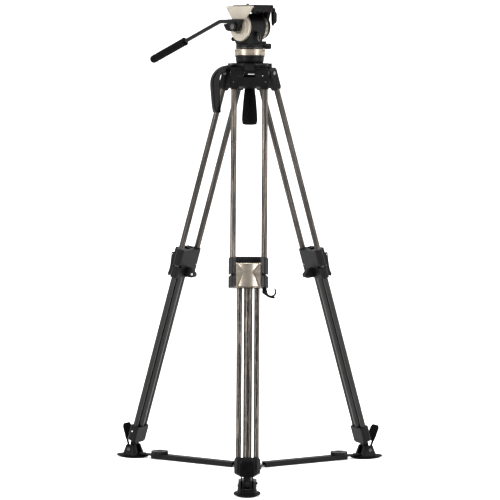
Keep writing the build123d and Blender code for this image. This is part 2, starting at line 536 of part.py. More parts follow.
# ---- legs --------------------------------------------------------------------------------------------------
for name, azimuth in LEGS.items():
    with BuildPart() as yoke:
        with BuildSketch(face_of_leg(azimuth, YOKE_Y)):
            Polygon((-YOKE_X, YOKE_TOP - 6), (-YOKE_X + 6, YOKE_TOP), (YOKE_X - 6, YOKE_TOP), (YOKE_X, YOKE_TOP - 6),
                    (YOKE_X, YOKE_BOTTOM + 8), (YOKE_X - 5, YOKE_BOTTOM), (43, YOKE_BOTTOM), (37, YOKE_ARCH),
                    (-37, YOKE_ARCH), (-43, YOKE_BOTTOM), (-YOKE_X + 5, YOKE_BOTTOM), (-YOKE_X, YOKE_BOTTOM + 8),
                    align=None)
        extrude(amount=2 * YOKE_Y)
        chamfer(yoke.faces().sort_by(normal_of(face_of_leg(azimuth)))[-1].edges(), length=2)
        with BuildSketch(face_of_leg(azimuth, YOKE_Y + 1)):
            with Locations((0, 20)):
                Rectangle(2 * LUG_X + 2, 76)
        extrude(amount=2 * YOKE_Y + 2, mode=Mode.SUBTRACT)
        with BuildSketch(face_of_leg(azimuth, -YOKE_Y + 1.2)):
            with Locations((0, -3.5)):
                Rectangle(100, 25)
        extrude(amount=5, mode=Mode.SUBTRACT)
        with BuildSketch(side_of_leg(azimuth)):
            Circle(PIN_R + RUN)
        extrude(amount=YOKE_X + 1, both=True, mode=Mode.SUBTRACT)
        with BuildSketch(across_leg(azimuth, -21)):
            with Locations((-UPPER_TUBE_X, 0), (UPPER_TUBE_X, 0)):
                Circle(UPPER_TUBE_R)
        extrude(amount=-60, mode=Mode.SUBTRACT)
    save(yoke, f"yoke_{name}")

    with BuildPart() as upper_tubes:
        with BuildSketch(across_leg(azimuth, COLLAR_BOTTOM + 7)):
            with Locations((-UPPER_TUBE_X, 0), (UPPER_TUBE_X, 0)):
                Circle(UPPER_TUBE_R)
                Circle(UPPER_TUBE_R - 1.5, mode=Mode.SUBTRACT)
        extrude(amount=-21 - COLLAR_BOTTOM - 7)
    save(upper_tubes, f"upper_tubes_{name}")

    with BuildPart() as collar:
        with BuildSketch(across_leg(azimuth, COLLAR_BOTTOM)):
            with Locations((-UPPER_TUBE_X, 0), (UPPER_TUBE_X, 0)):
                Circle(14.6)
            Polygon((-UPPER_TUBE_X, 14.6), (UPPER_TUBE_X, 14.6), (UPPER_TUBE_X, -14.6), (45.5, -20), (43, COLLAR_FRONT),
                    (-43, COLLAR_FRONT), (-45.5, -20), (-UPPER_TUBE_X, -14.6), align=None)
        extrude(amount=COLLAR_TOP - COLLAR_BOTTOM)
        with BuildSketch(face_of_leg(azimuth, 20)):
            with Locations((-59.5, COLLAR_SEAM - 4.5), (59.5, COLLAR_SEAM - 4.5)):
                Rectangle(25, COLLAR_SEAM - COLLAR_STEP)
        extrude(amount=60, mode=Mode.SUBTRACT)
        with BuildSketch(across_leg(azimuth, COLLAR_STEP - 1)):
            with Locations((-57, -12.5), (57, -12.5), (-57, 12.5), (57, 12.5)):
                Circle(1.5)
        extrude(amount=COLLAR_SEAM - COLLAR_STEP + 2)
        with BuildSketch(side_of_leg(azimuth)):
            Polygon((10, -728), (40, -733), (53, -742), (53, -752), (44, -758), (10, -764), align=None)
        extrude(amount=9, both=True)
        for side in (-1, 1):
            with BuildSketch(side_of_leg(azimuth, side * 44)):
                Polygon((-20, -680), (-38, -684), (-40.5, -688), (-40.5, -694), (-36, -698), (-20, -698), align=None)
            extrude(amount=1.4, both=True)
        with BuildSketch(side_of_leg(azimuth)):
            with Locations((LEVER_PIN_Y, LEVER_PIN_Z)):
                Circle(1.5)
        extrude(amount=44, both=True)
        with BuildSketch(across_leg(azimuth, COLLAR_BOTTOM + 7)):
            with Locations((-UPPER_TUBE_X, 0), (UPPER_TUBE_X, 0)):
                Circle(UPPER_TUBE_R)
        extrude(amount=200, mode=Mode.SUBTRACT)
        with BuildSketch(across_leg(azimuth, COLLAR_BOTTOM - 1)):
            with Locations((0, LOWER_Y)):
                Circle(MID_TUBE_R + GAP)
            with Locations((-SIDE_TUBE_X, LOWER_Y), (SIDE_TUBE_X, LOWER_Y)):
                Circle(SIDE_TUBE_R + RUN)
        extrude(amount=200, mode=Mode.SUBTRACT)
        with BuildSketch(side_of_leg(azimuth)):
            with Locations((44, -745)):
                Circle(3)
        extrude(amount=12, both=True, mode=Mode.SUBTRACT)
    save(collar, f"collar_{name}")

    with BuildPart() as collar_lever:
        with BuildSketch(side_of_leg(azimuth)):
            with Locations((LEVER_PIN_Y, LEVER_PIN_Z)):
                Circle(4.9)
            Polygon((LEVER_PIN_Y + 4.9, LEVER_PIN_Z), (LEVER_PIN_Y + 4.9, LEVER_BOTTOM), (-34.5, LEVER_BOTTOM),
                    (-35, -735), (LEVER_PIN_Y - 4.8, LEVER_PIN_Z - 1), align=None)
        extrude(amount=LEVER_X, both=True)
        with BuildSketch(face_of_leg(azimuth, -33)):
            Polygon((-40, -692), (-40, -708), (-20, -723), (-38, LEVER_BOTTOM), (38, LEVER_BOTTOM), (20, -723),
                    (40, -708), (40, -692), align=None)
        extrude(amount=9, taper=18)
        with BuildSketch(face_of_leg(azimuth, -30)):
            with Locations((0, LEVER_PIN_Z + 2.6 + 360)):
                Circle(360)
        extrude(amount=20, mode=Mode.SUBTRACT)
        with BuildSketch(side_of_leg(azimuth)):
            with Locations((LEVER_PIN_Y, LEVER_PIN_Z)):
                Circle(1.5 + RUN)
        extrude(amount=LEVER_X + 1, both=True, mode=Mode.SUBTRACT)
    save(collar_lever, f"collar_lever_{name}")

    with BuildPart() as lower_tubes:
        with BuildSketch(across_leg(azimuth, BOOT_TOP - 30)):
            with Locations((0, LOWER_Y)):
                Circle(MID_TUBE_R)
                Circle(MID_TUBE_R - 1.8, mode=Mode.SUBTRACT)
            with Locations((-SIDE_TUBE_X, LOWER_Y), (SIDE_TUBE_X, LOWER_Y)):
                Circle(SIDE_TUBE_R)
                Circle(SIDE_TUBE_R - 1.5, mode=Mode.SUBTRACT)
        extrude(amount=COLLAR_TOP - 4 - BOOT_TOP + 30)
    save(lower_tubes, f"lower_tubes_{name}")

    with BuildPart() as boot:
        with BuildSketch(face_of_leg(azimuth, LOWER_Y + 17)):
            Polygon((-BOOT_X, BOOT_TOP - 5), (-BOOT_X + 5, BOOT_TOP), (BOOT_X - 5, BOOT_TOP), (BOOT_X, BOOT_TOP - 5),
                    (BOOT_X, BOOT_SHOULDER), (24, BOOT_BOTTOM), (-24, BOOT_BOTTOM), (-BOOT_X, BOOT_SHOULDER),
                    align=None)
        extrude(amount=34)
        with BuildSketch(across_leg(azimuth, BOOT_TOP)):
            with Locations((-BOOT_X, LOWER_Y - 17), (BOOT_X, LOWER_Y - 17), (-BOOT_X, LOWER_Y + 17), (BOOT_X, LOWER_Y + 17)):
                Rectangle(14, 14, rotation=45)
        extrude(amount=-80, mode=Mode.SUBTRACT)
        with BuildSketch(side_of_leg(azimuth)):
            with Locations((TIP_Y, TIP_Z)):
                Circle(TIP_R)
            Polygon((TIP_Y - 11, BOOT_BOTTOM + 5), (TIP_Y + 11, BOOT_BOTTOM + 5), (TIP_Y + 9, TIP_Z), (TIP_Y - 9, TIP_Z),
                    align=None)
        extrude(amount=12, both=True)
        with BuildSketch(across_leg(azimuth, BOOT_TOP - 30)):
            with Locations((0, LOWER_Y)):
                Circle(MID_TUBE_R)
            with Locations((-SIDE_TUBE_X, LOWER_Y), (SIDE_TUBE_X, LOWER_Y)):
                Circle(SIDE_TUBE_R)
        extrude(amount=100, mode=Mode.SUBTRACT)
        with BuildSketch(side_of_leg(azimuth)):
            with Locations((TIP_Y, TIP_Z)):
                Circle(ANKLE_PIN_R + RUN)
        extrude(amount=20, both=True, mode=Mode.SUBTRACT)
    save(boot, f"boot_{name}")

    with BuildPart() as foot:
        with BuildSketch(ground(azimuth, PAD_H)):
            with Locations((ANKLE_R, 0)):
                RectangleRounded(62, 68, 12)
        with BuildSketch(ground(azimuth, 46)):
            with Locations((ANKLE_R, 0)):
                RectangleRounded(38, 54, 12)
        loft()
        with BuildSketch(ground(azimuth, 17)):
            with Locations((ANKLE_R, 0)):
                Rectangle(80, 25)
            with Locations((ANKLE_R + 20, 19), (ANKLE_R + 20, -19)):
                Rectangle(56, 4.6)
        extrude(amount=40, mode=Mode.SUBTRACT)
        with BuildSketch(upright(azimuth)):
            with Locations((ANKLE_R, ANKLE_Z)):
                Circle(ANKLE_PIN_R)
        extrude(amount=27, both=True)
        for side in (-1, 1):
            with BuildSketch(upright(azimuth, side * 27)):
                with Locations((ANKLE_R, ANKLE_Z)):
                    Circle(12)
            extrude(amount=3, both=True)
        with BuildSketch(upright(azimuth)):
            Polygon((BAR_END, BAR_Z0), (BAR_END, BAR_Z1), (ANKLE_R - 15, BAR_Z1), (ANKLE_R - 15, BAR_Z0), align=None)
        extrude(amount=BAR_W / 2, both=True)
        with BuildSketch(ground(azimuth, BAR_Z1 - 1)):
            with Locations((444.5, 0)):
                Circle(5)
        extrude(amount=4)
    save(foot, f"foot_{name}")

    with BuildPart() as pad:
        with BuildSketch(ground(azimuth)):
            with Locations((FOOT_R, 0)):
                Ellipse(PAD_A - 12, PAD_B - 9)
        with BuildSketch(ground(azimuth, 5)):
            with Locations((FOOT_R, 0)):
                Ellipse(PAD_A, PAD_B)
        with BuildSketch(ground(azimuth, 6.5)):
            with Locations((FOOT_R, 0)):
                Ellipse(PAD_A, PAD_B)
        with BuildSketch(ground(azimuth, PAD_H)):
            with Locations((FOOT_R, 0)):
                Ellipse(PAD_A - 14, PAD_B - 10)
        loft(ruled=True)
    save(pad, f"pad_{name}")

    lean = radians(LEVER_LEAN[name])
    with BuildPart() as foot_lever:
        with BuildSketch(upright(azimuth)):
            with Locations((ANKLE_R, ANKLE_Z)):
                Circle(7.5)
            with Locations(Location((ANKLE_R, ANKLE_Z), -degrees(lean))):
                with Locations((4, 38)):
                    Rectangle(7, 76)
        extrude(amount=20.6, both=True)
        with BuildSketch(upright(azimuth)):
            with Locations((ANKLE_R, ANKLE_Z)):
                Circle(37)
        extrude(amount=17.4, both=True, mode=Mode.SUBTRACT)
        blade = Plane(origin=upright(azimuth).from_local_coords((ANKLE_R + 0.5 * cos(lean), ANKLE_Z - 0.5 * sin(lean))),
                      x_dir=upright(azimuth).z_dir * -1,
                      z_dir=upright(azimuth).x_dir * cos(lean) - upright(azimuth).y_dir * sin(lean))
        with BuildSketch(blade):
            Polygon((-21, 37), (-23, 42), (-23, 86), (-15, 97), (15, 97), (23, 86), (23, 42), (21, 37), align=None)
        extrude(amount=7)
        with BuildSketch(upright(azimuth)):
            with Locations((ANKLE_R, ANKLE_Z)):
                Circle(ANKLE_PIN_R + RUN)
        extrude(amount=30, both=True, mode=Mode.SUBTRACT)
    save(foot_lever, f"foot_lever_{name}")

    # ---- one arm of the spreader ---------------------------------------------------------------------------
    with BuildPart() as arm:
        with BuildSketch(upright(azimuth)):
            Polygon((ARM_START, ARM_Z0), (ARM_START, ARM_Z1), (ARM_END, ARM_Z1), (ARM_END, ARM_Z0), align=None)
        extrude(amount=ARM_W / 2, both=True)
        with BuildSketch(upright(azimuth)):
            Polygon((ARM_START - 1, CAVITY_Z0), (ARM_START - 1, CAVITY_Z1), (ARM_END + 1, CAVITY_Z1),
                    (ARM_END + 1, CAVITY_Z0), align=None)
        extrude(amount=BAR_W / 2 + GAP, both=True, mode=Mode.SUBTRACT)
        with BuildSketch(ground(azimuth, ARM_Z1 - 1)):
            with Locations(((ARM_START + 345) / 2, 8), ((ARM_START + 345) / 2, -8)):
                Rectangle(345 - ARM_START - 12, 3)
        extrude(amount=2, mode=Mode.SUBTRACT)
        with BuildSketch(ground(azimuth, CAVITY_Z1)):
            with Locations((KNOB_AT, 0)):
                Circle(4 + RUN)
        extrude(amount=10, mode=Mode.SUBTRACT)
    save(arm, f"arm_{name}")

    with BuildPart() as arm_knob:
        with BuildSketch(ground(azimuth, ARM_Z1 + 0.4)):
            with Locations((KNOB_AT, 0)):
                RegularPolygon(KNOB_R, 8)
                with PolarLocations(KNOB_R + 1, 8):
                    Circle(4.5, mode=Mode.SUBTRACT)
        extrude(amount=10.5)
        with BuildSketch(ground(azimuth, CAVITY_Z1 + 0.3)):
            with Locations((KNOB_AT, 0)):
                Circle(4)
        extrude(amount=ARM_Z1 - CAVITY_Z1 + 2)
    save(arm_knob, f"arm_knob_{name}")

    play = 0.0 if name == "front" else EYE_PLAY
    with BuildPart() as tongue:
        with BuildSketch(ground(azimuth, TONGUE_Z0)):
            with Locations((TONGUE_PIN, 0)):
                Circle(10)
            with Locations(((TONGUE_PIN + TONGUE_END) / 2, 0)):
                Rectangle(TONGUE_END - TONGUE_PIN, 20)
            with Locations(((ARM_START + 4 + TONGUE_END) / 2, 0)):
                Rectangle(TONGUE_END - ARM_START - 4, BAR_W)
            with Locations((TONGUE_PIN, 0)):
                Circle(HUB_PIN_R + play, mode=Mode.SUBTRACT)
        extrude(amount=TONGUE_Z1 - TONGUE_Z0)
    save(tongue, f"tongue_{name}")

with BuildPart() as hub:
    with BuildSketch(Plane.XY):
        Circle(HUB_R)
        for azimuth in LEGS.values():
            with Locations(Location((0, 0), azimuth)):
                with Locations((HUB_FLAT + 20, 0)):
                    Rectangle(40, ARM_W + 4, mode=Mode.SUBTRACT)
    extrude(amount=HUB_H)
    chamfer(hub.edges().group_by(Axis.Z)[-1], length=2)
    for name, azimuth in LEGS.items():
        play = 0.0 if name == "front" else EYE_PLAY
        loose = 0.0 if name == "front" else 1.0
        with BuildSketch(ground(azimuth, TONGUE_Z0 - loose)):
            with Locations((TONGUE_PIN, 0)):
                Circle(10 + play)
            with Locations((TONGUE_PIN + 15, 0)):
                Rectangle(30, 20 + 2 * play)
        extrude(amount=TONGUE_Z1 - TONGUE_Z0 + 2 * loose, mode=Mode.SUBTRACT)
        with BuildSketch(ground(azimuth, TONGUE_Z0 - loose - 0.5)):
            with Locations((TONGUE_PIN, 0)):
                Circle(HUB_PIN_R)
        extrude(amount=TONGUE_Z1 - TONGUE_Z0 + 2 * loose + 1)
save(hub, "hub")

# ---- cable hook under the front leg's collar -----------------------------------------------------------------
with BuildPart() as cable_hook:
    with BuildSketch(face_of_leg(LEGS["front"], 3)):
        with Locations((78.5, -781)):
            Circle(18.2)
            Circle(13.4, mode=Mode.SUBTRACT)
        with Locations((72, -755)):
            Rectangle(36, 44, mode=Mode.SUBTRACT)
        Polygon((48, COLLAR_BOTTOM), (62, COLLAR_BOTTOM), (64.5, -781), (74, -793), (90, -798), (92, -802), (86, -804),
                (70, -800), (48, -785), align=None)
        with Locations((78.5, -781)):
            Circle(13.4, mode=Mode.SUBTRACT)
    extrude(amount=7)
save(cable_hook, "cable_hook")
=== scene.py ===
"""Looks of a video tripod with a fluid head: finishes for the machined, moulded and carbon parts, and the small
pieces that the castings carry, such as screws, ticks, ribs, grips and caps.  Metres, +Z up."""
from math import cos, pi, radians, sin

import bmesh
import bpy
from mathutils import Matrix, Vector


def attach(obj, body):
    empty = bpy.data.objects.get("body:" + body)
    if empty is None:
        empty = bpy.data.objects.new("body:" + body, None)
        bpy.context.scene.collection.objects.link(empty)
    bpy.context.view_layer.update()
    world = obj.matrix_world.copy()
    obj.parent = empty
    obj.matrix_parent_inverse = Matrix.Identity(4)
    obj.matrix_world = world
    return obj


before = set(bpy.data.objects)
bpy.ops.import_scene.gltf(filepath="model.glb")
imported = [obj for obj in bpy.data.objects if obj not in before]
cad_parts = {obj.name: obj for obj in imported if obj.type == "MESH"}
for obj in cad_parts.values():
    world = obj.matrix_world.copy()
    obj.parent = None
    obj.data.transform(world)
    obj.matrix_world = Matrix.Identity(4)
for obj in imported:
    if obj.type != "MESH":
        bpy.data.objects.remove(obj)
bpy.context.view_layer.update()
LEGS = {"front": -90, "left": 150, "right": 30}
LEG_TILT = radians(16.76)
MM = 0.001

# ---- frames ------------------------------------------------------------------------------------------------


def leg_axes(azimuth):
    """Across, inward and up directions of a leg, and its hinge point."""
    a = radians(azimuth)
    out = Vector((cos(a), sin(a), 0))
    across = Vector((-sin(a), cos(a), 0))
    up = -sin(LEG_TILT) * out + cos(LEG_TILT) * Vector((0, 0, 1))
    return across, up.cross(across), up, out * 0.0615 + Vector((0, 0, 1.415))


def place(at, x_dir, y_dir):
    """Matrix with its origin at a point and its X and Y along two directions."""
    x = Vector(x_dir).normalized()
    y = Vector(y_dir).normalized()
    z = x.cross(y)
    m = Matrix((x, y, z)).transposed().to_4x4()
    m.translation = Vector(at)
    return m


AHEAD = Vector((cos(radians(-47.5)), sin(radians(-47.5)), 0))
LEFTWARD = Vector((-AHEAD.y, AHEAD.x, 0))
UP = Vector((0, 0, 1))
TILT_Z = 1.5775


def head_at(ahead, left, up):
    return AHEAD * ahead * MM + LEFTWARD * left * MM + UP * (TILT_Z + up * MM)


def on_side(ahead, right, up):
    """Matrix on the head's right side: +Z to the right, +X ahead."""
    return place(head_at(ahead, -right, up), AHEAD, UP)


# ---- shader maths ------------------------------------------------------------------------------------------
class Sock:
    """A value's socket, so that shader maths reads as an expression."""

    def __init__(self, look, socket):
        self.look = look
        self.socket = socket

    def _math(self, op, a, b):
        return self.look.node("ShaderNodeMath", {"operation": op}, a, b)

    def __add__(self, other):
        return self._math("ADD", self, other)

    def __radd__(self, other):
        return self._math("ADD", other, self)

    def __sub__(self, other):
        return self._math("SUBTRACT", self, other)

    def __rsub__(self, other):
        return self._math("SUBTRACT", other, self)

    def __mul__(self, other):
        return self._math("MULTIPLY", self, other)

    def __rmul__(self, other):
        return self._math("MULTIPLY", other, self)

    def __truediv__(self, other):
        return self._math("DIVIDE", self, other)

    def __gt__(self, other):
        return self._math("GREATER_THAN", self, other)

    def __lt__(self, other):
        return self._math("LESS_THAN", self, other)


class Look:
    """One finish: a node tree round a Principled shader."""

    def __init__(self, name):
        self.material = bpy.data.materials.new(name)
        self.material.use_nodes = True
        self.tree = self.material.node_tree
        self.shader = self.tree.nodes["Principled BSDF"]
        self.point = self.node("ShaderNodeTexCoord", {}, out="Object")

    @classmethod
    def over(cls, material):
        """The same sort of tree, opened again on a finish that is already made."""
        look = cls.__new__(cls)
        look.material, look.tree = material, material.node_tree
        look.shader = look.tree.nodes["Principled BSDF"]
        look.point = look.node("ShaderNodeTexCoord", {}, out="Object")
        return look

    def node(self, kind, settings, *values, out=0, **named):
        """A new node's output, its settings and inputs given; underscores in input names stand for spaces."""
        made = self.tree.nodes.new(kind)
        for key, value in settings.items():
            if key == "stops":
                self._stops(made.color_ramp, value)
            else:
                setattr(made, key, value)
        for key, value in list(enumerate(values)) + list(named.items()):
            if value is None:
                continue
            self.feed(made.inputs[key.replace("_", " ") if isinstance(key, str) else key], value)
        return Sock(self, made.outputs[out])

    def _stops(self, ramp, stops):
        while len(ramp.elements) < len(stops):
            ramp.elements.new(0.5)
        for element, (at, colour) in zip(ramp.elements, stops):
            element.position = at
            element.color = (*colour, 1) if len(colour) == 3 else colour

    def feed(self, socket, value):
        if isinstance(value, Sock):
            self.tree.links.new(value.socket, socket)
        else:
            socket.default_value = value

    def noise(self, vector, scale, detail=3.0, rough=0.55):
        return self.node("ShaderNodeTexNoise", {}, Vector=vector, Scale=scale, Detail=detail, Roughness=rough)

    def dot(self, direction, vector=None):
        return self.node("ShaderNodeVectorMath", {"operation": "DOT_PRODUCT"}, vector or self.point,
                         tuple(direction), out="Value")

    def vector(self, x, y, z):
        return self.node("ShaderNodeCombineXYZ", {}, x, y, z)

    def shift(self, vector, by):
        return self.node("ShaderNodeVectorMath", {"operation": "SUBTRACT"}, vector, tuple(by))

    def ramp(self, value, *stops):
        return self.node("ShaderNodeValToRGB", {"stops": stops}, value)

    def mix(self, factor, a, b):
        made = self.tree.nodes.new("ShaderNodeMix")
        made.data_type = "RGBA"
        for socket, value in ((made.inputs[0], factor), (made.inputs[6], a), (made.inputs[7], b)):
            if not isinstance(value, Sock) and socket is not made.inputs[0]:
                value = (*value, 1)
            self.feed(socket, value)
        return Sock(self, made.outputs[2])

    def bump(self, height, distance, strength=1.0, over=None):
        return self.node("ShaderNodeBump", {}, Strength=strength, Distance=distance, Height=height, Normal=over)

    def set(self, **sockets):
        for key, value in sockets.items():
            if key == "Base_Color" and not isinstance(value, Sock):
                value = (*value, 1)
            self.feed(self.shader.inputs[key.replace("_", " ")], value)
        return self.material


# ---- finishes ----------------------------------------------------------------------------------------------
def powder_coat(name, dark, light, grain=900.0, rough=0.42, metal=0.0, shine=0.3):
    """Satin powder coat: a fine pimple over a slow tone, a little rubbed."""
    look = Look(name)
    fine = look.noise(look.point, grain, 2.0, 0.6)
    slow = look.noise(look.point, 23.0, 4.0, 0.6)
    rubbed = look.node("ShaderNodeMapRange", {}, look.noise(look.point, 140.0, 5.0, 0.7), 0.62, 0.78, 0.0, 1.0)
    tone = look.ramp(slow * 0.7 + fine * 0.3, (0.3, dark), (0.72, light))
    worn = tuple(min(1.0, c * 2.2 + 0.012) for c in light)
    colour = look.mix(rubbed * 0.35, tone, worn)
    return look.set(Base_Color=colour, Metallic=metal, Specular_IOR_Level=shine,
                    Roughness=rough + slow * 0.14 - rubbed * 0.05,
                    Normal=look.bump(fine, 0.00012, 0.5, look.bump(slow, 0.0004, 0.15)))


def brushed(name, colour, direction, rough=0.34, metal=0.82):
    """Brushed and anodised aluminium, its scratches along one direction."""
    look = Look(name)
    along = look.dot(direction)
    d = Vector(direction).normalized()
    side = d.cross(UP) if abs(d.z) < 0.9 else d.cross(Vector((1, 0, 0)))
    side.normalize()
    other = d.cross(side)
    lines = look.noise(look.vector(along * 30.0, look.dot(side) * 2600.0, look.dot(other) * 2600.0), 1.0, 3.0, 0.6)
    slow = look.noise(look.point, 35.0, 4.0, 0.6)
    grain = look.noise(look.point, 1300.0, 2.0, 0.5)
    light = tuple(min(1.0, c * 1.16) for c in colour)
    dark = tuple(c * 0.8 for c in colour)
    tone = look.ramp(lines * 0.5 + slow * 0.3 + grain * 0.2, (0.33, dark), (0.66, light))
    return look.set(Base_Color=tone, Metallic=metal, Roughness=rough + lines * 0.12 + slow * 0.05,
                    Normal=look.bump(lines * 0.6 + grain * 0.4, 0.00006, 0.5))


def folded(name, azimuth, colour, height, waist=11.0, spread=0.78):
    """Brushed aluminium pressed into an hourglass fold, about a height on a leg's outer face."""
    material = brushed(name, colour, leg_axes(azimuth)[0], 0.3, 0.85)
    look = Look.over(material)
    across, inward, up, pivot = leg_axes(azimuth)
    local = look.shift(look.point, pivot + up * height * MM)
    aside = look.node("ShaderNodeMath", {"operation": "ABSOLUTE"}, look.dot(across, local)) * 1000.0
    along = look.node("ShaderNodeMath", {"operation": "ABSOLUTE"}, look.dot(up, local)) * 1000.0
    edge = aside - (along * spread + waist)
    outside = look.node("ShaderNodeMath", {"operation": "MAXIMUM"}, edge, 0.0)
    fold = (aside * aside * 0.0085 * (edge < 0.0) - outside * 0.1) * MM
    grain = look.shader.inputs["Normal"].links[0].from_socket
    return look.set(Normal=look.bump(fold, 1.0, 1.0, Sock(look, grain)))


def turned(name, colour, centre, axis, rough=0.28):
    """Turned aluminium: rings about an axis, with a slow tone."""
    look = Look(name)
    local = look.shift(look.point, centre)
    along = look.dot(axis, local)
    lines = look.noise(look.vector(along * 1.0, 0.0, 0.0), 2400.0, 3.0, 0.6)
    slow = look.noise(look.point, 40.0, 4.0, 0.6)
    light = tuple(min(1.0, c * 1.14) for c in colour)
    dark = tuple(c * 0.78 for c in colour)
    tone = look.ramp(lines * 0.55 + slow * 0.45, (0.34, dark), (0.66, light))
    return look.set(Base_Color=tone, Metallic=0.85, Roughness=rough + lines * 0.12,
                    Normal=look.bump(lines, 0.00005, 0.5))


def carbon(name, azimuth, dark, mid, light, wave=0.0):
    """Clear-coated carbon tube: long streaks up the leg, wavy where the cloth was laid loosely."""
    look = Look(name)
    across, inward, up, pivot = leg_axes(azimuth)
    local = look.shift(look.point, pivot)
    x, y, z = look.dot(across, local), look.dot(inward, local), look.dot(up, local)
    drift = look.noise(look.vector(x * 8.0, y * 8.0, z * 9.0), 1.0, 3.0, 0.6)
    bend = (drift - 0.5) * wave
    streak = look.noise(look.vector((x + bend) * 260.0, (y + bend) * 260.0, z * 6.0), 1.0, 4.0, 0.62)
    thread = look.noise(look.vector((x + bend) * 1500.0, (y + bend) * 1500.0, z * 26.0), 1.0, 2.0, 0.6)
    weave = look.noise(look.vector(x * 900.0 + z * 500.0, y * 900.0 - z * 500.0, z * 900.0), 1.0, 1.0, 0.5)
    figure = streak * 0.68 + thread * 0.22 + weave * 0.1
    tone = look.ramp(figure, (0.4, dark), (0.5, mid), (0.61, light))
    return look.set(Base_Color=tone, Metallic=0.15, Roughness=0.34 + thread * 0.16, Coat_Weight=0.35,
                    Normal=look.bump(streak * 0.5 + thread * 0.5, 0.00008, 0.4))


def moulded(name, colour, rough=0.48, grain=700.0):
    """Fine-grained moulded plastic."""
    look = Look(name)
    spots = look.node("ShaderNodeTexVoronoi", {"feature": "SMOOTH_F1"}, Vector=look.point, Scale=grain,
                      out="Distance")
    slow = look.noise(look.point, 30.0, 4.0, 0.6)
    dark = tuple(c * 0.75 for c in colour)
    light = tuple(c * 1.5 + 0.002 for c in colour)
    tone = look.ramp(slow, (0.32, dark), (0.7, light))
    return look.set(Base_Color=tone, Specular_IOR_Level=0.35, Roughness=rough + slow * 0.16 - spots * 0.08,
                    Normal=look.bump(spots, 0.00012, 0.45))


def rubber(name, colour, rough=0.66):
    """Matt rubber with a dusty bloom and a faint mould grain."""
    look = Look(name)
    fine = look.noise(look.point, 1500.0, 3.0, 0.65)
    bloom = look.noise(look.point, 55.0, 6.0, 0.7)
    light = tuple(c * 2.1 + 0.004 for c in colour)
    tone = look.ramp(bloom * 0.75 + fine * 0.25, (0.36, colour), (0.72, light))
    return look.set(Base_Color=tone, Specular_IOR_Level=0.15, Roughness=rough + bloom * 0.16,
                    Normal=look.bump(fine, 0.00014, 0.5))


def steel(name, colour, rough=0.24):
    """Turned and tumbled steel with fine marks."""
    look = Look(name)
    marks = look.noise(look.point, 1900.0, 3.0, 0.6)
    slow = look.noise(look.point, 60.0, 4.0, 0.6)
    dark = tuple(c * 0.72 for c in colour)
    tone = look.ramp(marks * 0.4 + slow * 0.6, (0.34, dark), (0.66, colour))
    return look.set(Base_Color=tone, Metallic=1.0, Roughness=rough + slow * 0.18,
                    Normal=look.bump(marks, 0.00004, 0.4))


def floor_finish():
    """Matt white paper that glows a little, so that it stays pale into the distance."""
    look = Look("studio_floor")
    slow = look.noise(look.point, 1.4, 3.0, 0.5)
    return look.set(Base_Color=look.ramp(slow, (0.3, (0.93, 0.93, 0.93)), (0.7, (0.96, 0.96, 0.96))), Roughness=0.9,
                    Emission_Color=(1, 1, 1, 1), Emission_Strength=0.3)


BLACK = powder_coat("black_powder_coat", (0.0045, 0.0045, 0.0048), (0.0105, 0.0105, 0.0112))
CROWN = powder_coat("crown_powder_coat", (0.0035, 0.0035, 0.0037), (0.0085, 0.0085, 0.009), rough=0.38, shine=0.2)
# The front boot gets a lighter copy of the black coat while the back boots stay in the plain black coat: painted
# light on the front boot.
FRONT_BOOT_LIT = powder_coat("front_boot_painted_light_coat", (0.013, 0.013, 0.0135), (0.028, 0.028, 0.029), rough=0.4)
# The collars are one coat: the front collar gets a lighter grey copy and the back collars and their levers a
# near-black copy, painted light at the front and painted shade at the back.
HOUSING = powder_coat("collar_powder_coat", (0.026, 0.026, 0.027), (0.062, 0.062, 0.063), 1100.0, 0.36, 0.35)
COLLAR_SHADED = powder_coat("back_collar_painted_shade_coat", (0.005, 0.005, 0.0053), (0.012, 0.012, 0.0125), 1100.0, 0.44)
SATIN = powder_coat("handle_satin_black", (0.0032, 0.0032, 0.0034), (0.008, 0.008, 0.0083), 1400.0, 0.3, shine=0.2)
PLATE = brushed("side_plate_champagne", (0.44, 0.405, 0.35), AHEAD, 0.36, 0.72)
LEVER = folded("collar_lever_champagne", -90, (0.40, 0.362, 0.312), -722.0)
RING = turned("drag_ring_champagne", (0.37, 0.33, 0.275), (0, 0, 1.488), (0, 0, 1))
TILT_RING = turned("tilt_ring_champagne", (0.28, 0.249, 0.205), head_at(0, 39, 0), LEFTWARD)
RUBBER = rubber("grip_rubber", (0.003, 0.003, 0.0031))
PAD = rubber("pad_rubber", (0.003, 0.003, 0.0031), 0.55)
PLASTIC = moulded("moulded_black", (0.0045, 0.0045, 0.0048))
ARM = moulded("arm_black", (0.0042, 0.0042, 0.0044), 0.42, 520.0)
KNOB = moulded("knob_black", (0.0048, 0.0048, 0.005), 0.40, 600.0)
STEEL = steel("bright_steel", (0.72, 0.71, 0.69))
DARK_STEEL = steel("dark_steel", (0.16, 0.155, 0.15), 0.3)
TUBE = powder_coat("handle_tube_black", (0.0035, 0.0035, 0.0037), (0.008, 0.008, 0.0085), 1600.0, 0.34)
RED = moulded("button_red", (0.05, 0.006, 0.005), 0.3)
